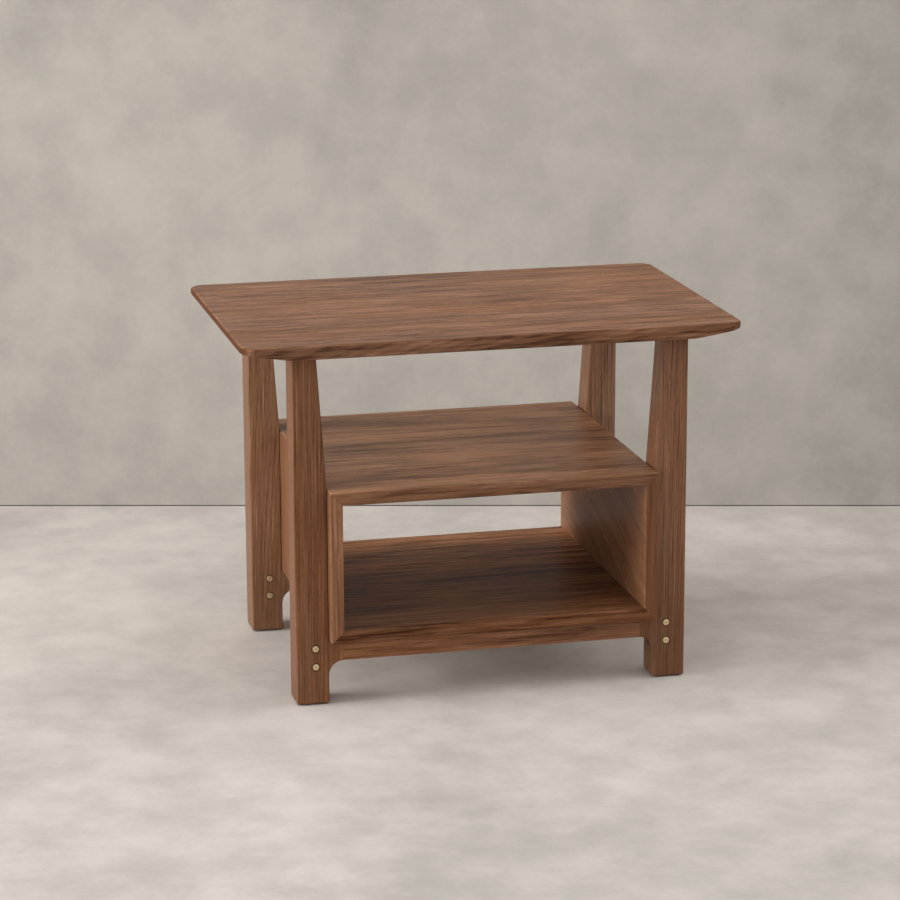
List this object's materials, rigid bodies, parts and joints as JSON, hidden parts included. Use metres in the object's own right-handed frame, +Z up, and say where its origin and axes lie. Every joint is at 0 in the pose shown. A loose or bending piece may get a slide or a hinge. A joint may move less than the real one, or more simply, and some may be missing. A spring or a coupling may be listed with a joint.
{
  "type": "side table",
  "caption": "Low rectangular wooden side table: thin top with ends bevelled from below on straight legs, an open mitred box held between the legs, and rails under the box.",
  "frame": {"origin": "on the floor, under the middle of the tabletop", "axes": "+X along the table to its right end, +Y from the front to the back, +Z up"},
  "size_m": [0.68, 0.44, 0.498],
  "materials": {
    "walnut_top": "oiled walnut, grain along the table",
    "walnut_legs": "oiled walnut, grain up the leg",
    "walnut_box": "oiled walnut, grain running round the box",
    "walnut_rails": "oiled walnut, grain along the rail",
    "joint_wood": "raw beech, hidden inside the joints",
    "brass": "satin, turned ends",
    "dark_steel": "dark bronzed"
  },
  "bodies": {
    "root": {"tabletop": "walnut_top", "front_left_leg": "walnut_legs", "front_right_leg": "walnut_legs", "back_left_leg": "walnut_legs", "back_right_leg": "walnut_legs", "shelf_board": "walnut_box", "bottom_board": "walnut_box", "left_side_board": "walnut_box", "right_side_board": "walnut_box", "upper_left_mitre_tongue": "joint_wood", "upper_right_mitre_tongue": "joint_wood", "lower_left_mitre_tongue": "joint_wood", "lower_right_mitre_tongue": "joint_wood", "front_rail": "walnut_rails", "back_rail": "walnut_rails", "brass_pins": "brass", "side_dowels": "joint_wood", "rail_dowels": "joint_wood", "front_left_glide": "dark_steel", "front_right_glide": "dark_steel", "back_left_glide": "dark_steel", "back_right_glide": "dark_steel"}
  },
  "joints": []
}
